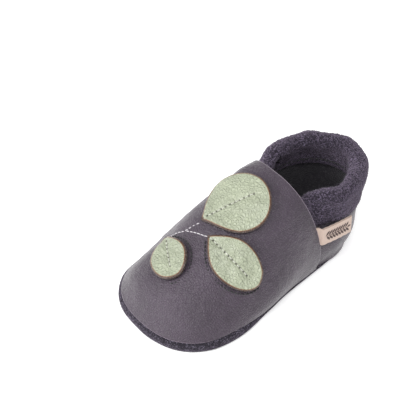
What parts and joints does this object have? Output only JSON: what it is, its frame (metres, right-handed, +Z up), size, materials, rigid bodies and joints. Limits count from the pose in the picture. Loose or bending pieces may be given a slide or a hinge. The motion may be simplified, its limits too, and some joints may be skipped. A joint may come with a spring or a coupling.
{
  "type": "baby bootie",
  "caption": "Soft leather baby bootie with an elasticated suede collar, leaf patches on the vamp and a folded side tag.",
  "frame": {"origin": "on the floor under the middle of the bounding box", "axes": "+Z up, +Y from the toe towards the heel, +X towards the outer side of this left bootie, where the tag is"},
  "size_m": [0.0734, 0.1401, 0.0572],
  "materials": {
    "leather": "fine pebbled, low sheen",
    "suede": "fuzzy suede",
    "sole_suede": "rough suede",
    "leaf_leather": "pebbled, pearly, burnt edges",
    "insole_leather": "matt split leather",
    "foam": "soft",
    "elastic": "braided",
    "pale_thread": "polyester thread",
    "dark_thread": "polyester thread",
    "seam_thread": "polyester thread",
    "tape": "woven tape"
  },
  "bodies": {
    "bootie": {"outsole": "sole_suede", "sole_pad": "foam", "insole": "insole_leather", "sole_seam_stitches": "seam_thread", "vamp": "leather", "heel_quarter": "leather", "collar_casing": "suede", "collar_hem_stitches": "seam_thread", "ankle_elastic": "elastic", "elastic_end_tacks": "seam_thread", "stem_stitches": "pale_thread", "branch_stitches": "pale_thread", "large_leaf": "leaf_leather", "large_leaf_midrib_stitches": "pale_thread", "middle_leaf": "leaf_leather", "middle_leaf_midrib_stitches": "pale_thread", "middle_leaf_outline_stitches": "dark_thread", "small_leaf": "leaf_leather", "small_leaf_midrib_stitches": "pale_thread", "small_leaf_outline_stitches": "dark_thread"},
    "tag": {"side_tag": "tape"}
  },
  "joints": [
    {"name": "tag_flip", "type": "hinge", "parent": "bootie", "child": "tag", "pos_m": [0.0286, 0.02476, 0.0277], "axis": [0, 0, -1], "range_deg": [0, 110], "stiffness_Nm_per_rad": 0.00005}
  ]
}
